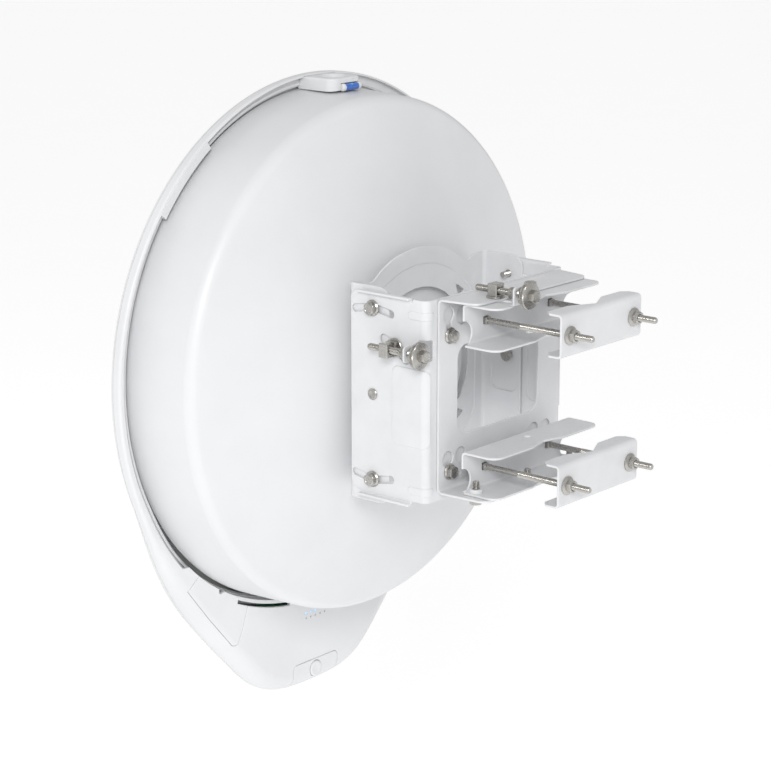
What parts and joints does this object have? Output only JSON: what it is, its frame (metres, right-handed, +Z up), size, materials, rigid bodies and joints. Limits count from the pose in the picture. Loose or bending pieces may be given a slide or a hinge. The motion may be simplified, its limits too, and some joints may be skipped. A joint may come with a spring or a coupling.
{
  "type": "outdoor wireless bridge",
  "caption": "Round dish antenna in a deep drum with a teardrop radome and chin, on a folded steel mast bracket with azimuth and elevation adjusting screws.",
  "frame": {"origin": "on the mast's axis, midway between the two clamps", "axes": "+Z up along the mast, the dish faces -Y, +X is the side with the elevation adjuster"},
  "size_m": [0.5124, 0.3867, 0.5943],
  "materials": {
    "coated_steel": "satin white powder coat",
    "stainless_steel": "machined stainless, slightly warm",
    "white_housing": "fine satin moulded plastic",
    "spun_aluminium": "spun aluminium",
    "cast_aluminium": "cast, dark",
    "circuit_board": "solder mask",
    "level_liquid": "clear blue liquid in a tube",
    "status_lights": "light pipe"
  },
  "bodies": {
    "mast_clamp": {"saddle_upper": "coated_steel", "saddle_lower": "coated_steel", "mast_bolt_upper_right": "stainless_steel", "mast_bolt_upper_left": "stainless_steel", "mast_bolt_lower_right": "stainless_steel", "mast_bolt_lower_left": "stainless_steel", "azimuth_pivot_upper": "stainless_steel", "azimuth_pivot_lower": "stainless_steel", "azimuth_lock_bolt_right": "stainless_steel", "azimuth_lock_bolt_left": "stainless_steel", "azimuth_screw_bushing": "stainless_steel", "azimuth_screw_springs": "stainless_steel"},
    "upper_bar": {"clamp_bar_upper": "coated_steel", "mast_nut_upper_right": "stainless_steel", "mast_nut_upper_left": "stainless_steel"},
    "lower_bar": {"clamp_bar_lower": "coated_steel", "mast_nut_lower_right": "stainless_steel", "mast_nut_lower_left": "stainless_steel"},
    "azimuth_head": {"azimuth_bracket": "coated_steel", "elevation_bracket": "coated_steel", "bracket_bolt_upper_right": "stainless_steel", "bracket_bolt_upper_left": "stainless_steel", "bracket_bolt_lower_right": "stainless_steel", "bracket_bolt_lower_left": "stainless_steel", "elevation_pivot_right": "stainless_steel", "elevation_pivot_left": "stainless_steel"},
    "azimuth_knob": {"azimuth_screw": "stainless_steel"},
    "azimuth_screw_nut": {"azimuth_trunnion": "stainless_steel"},
    "dish": {"dish_bracket": "coated_steel", "elevation_lock_bolt_upper_right": "stainless_steel", "elevation_lock_bolt_upper_left": "stainless_steel", "elevation_lock_bolt_lower_right": "stainless_steel", "elevation_lock_bolt_lower_left": "stainless_steel", "plate_bolt_upper_right": "stainless_steel", "plate_bolt_upper_left": "stainless_steel", "plate_bolt_lower_right": "stainless_steel", "plate_bolt_lower_left": "stainless_steel", "drum": "white_housing", "reflector": "spun_aluminium", "feed": "spun_aluminium", "rear_housing": "white_housing", "radome": "white_housing", "side_trim_right": "white_housing", "side_trim_left": "white_housing", "status_light_bar": "status_lights", "radio_board": "circuit_board", "heat_sink": "cast_aluminium", "ethernet_jack": "stainless_steel", "alignment_module": "white_housing", "level_vial": "level_liquid", "vial_cap_right": "white_housing", "vial_cap_left": "white_housing"},
    "elevation_swivel": {"elevation_screw_bushing": "stainless_steel", "elevation_screw_springs": "stainless_steel"},
    "elevation_knob": {"elevation_screw": "stainless_steel"},
    "elevation_screw_nut": {"elevation_trunnion": "stainless_steel"},
    "port_cover": {"port_cover": "white_housing"},
    "release_button": {"release_button": "white_housing"}
  },
  "joints": [
    {"name": "upper_bar_slide", "type": "slide", "parent": "mast_clamp", "child": "upper_bar", "axis": [0, 1, 0], "range_m": [-0.011, 0.012]},
    {"name": "lower_bar_slide", "type": "slide", "parent": "mast_clamp", "child": "lower_bar", "axis": [0, 1, 0], "range_m": [-0.011, 0.012]},
    {"name": "azimuth", "type": "hinge", "parent": "mast_clamp", "child": "azimuth_head", "pos_m": [0, -0.042, 0], "axis": [0, 0, 1], "range_deg": [-10, 10]},
    {"name": "azimuth_knob_turn", "type": "hinge", "parent": "mast_clamp", "child": "azimuth_knob", "pos_m": [0.046, -0.02, 0.092], "axis": [0, 1, 0], "continuous": true},
    {"name": "azimuth_nut_swivel", "type": "hinge", "parent": "azimuth_head", "child": "azimuth_screw_nut", "pos_m": [0.046, -0.0435, 0.092], "axis": [0, 0, 1], "range_deg": [-10.5, 10.5]},
    {"name": "elevation", "type": "hinge", "parent": "azimuth_head", "child": "dish", "pos_m": [0, -0.137, -0.0045], "axis": [1, 0, 0], "range_deg": [-15, 15]},
    {"name": "elevation_screw_tilt", "type": "hinge", "parent": "azimuth_head", "child": "elevation_swivel", "pos_m": [0.107, -0.088, 0.0408], "axis": [1, 0, 0], "range_deg": [-15.6, 15.6]},
    {"name": "elevation_knob_turn", "type": "hinge", "parent": "elevation_swivel", "child": "elevation_knob", "pos_m": [0.107, -0.088, 0.0408], "axis": [0, 1, 0], "continuous": true},
    {"name": "elevation_nut_swivel", "type": "hinge", "parent": "dish", "child": "elevation_screw_nut", "pos_m": [0.107, -0.1115, 0.0408], "axis": [1, 0, 0], "range_deg": [-30.6, 30.6]},
    {"name": "port_cover_slide", "type": "slide", "parent": "dish", "child": "port_cover", "axis": [0, 0, -1], "range_m": [0, 0.03]},
    {"name": "release_button_press", "type": "slide", "parent": "port_cover", "child": "release_button", "axis": [0, -1, 0], "range_m": [0, 0.0015], "stiffness_N_per_m": 500}
  ],
  "couplings": [
    {"joint": "azimuth_knob_turn", "follows": "azimuth", "ratio": -289},
    {"joint": "azimuth_nut_swivel", "follows": "azimuth", "ratio": -1},
    {"joint": "elevation_screw_tilt", "follows": "elevation", "ratio": -1.02},
    {"joint": "elevation_knob_turn", "follows": "elevation", "ratio": 284.6},
    {"joint": "elevation_nut_swivel", "follows": "elevation", "ratio": -2.02}
  ]
}
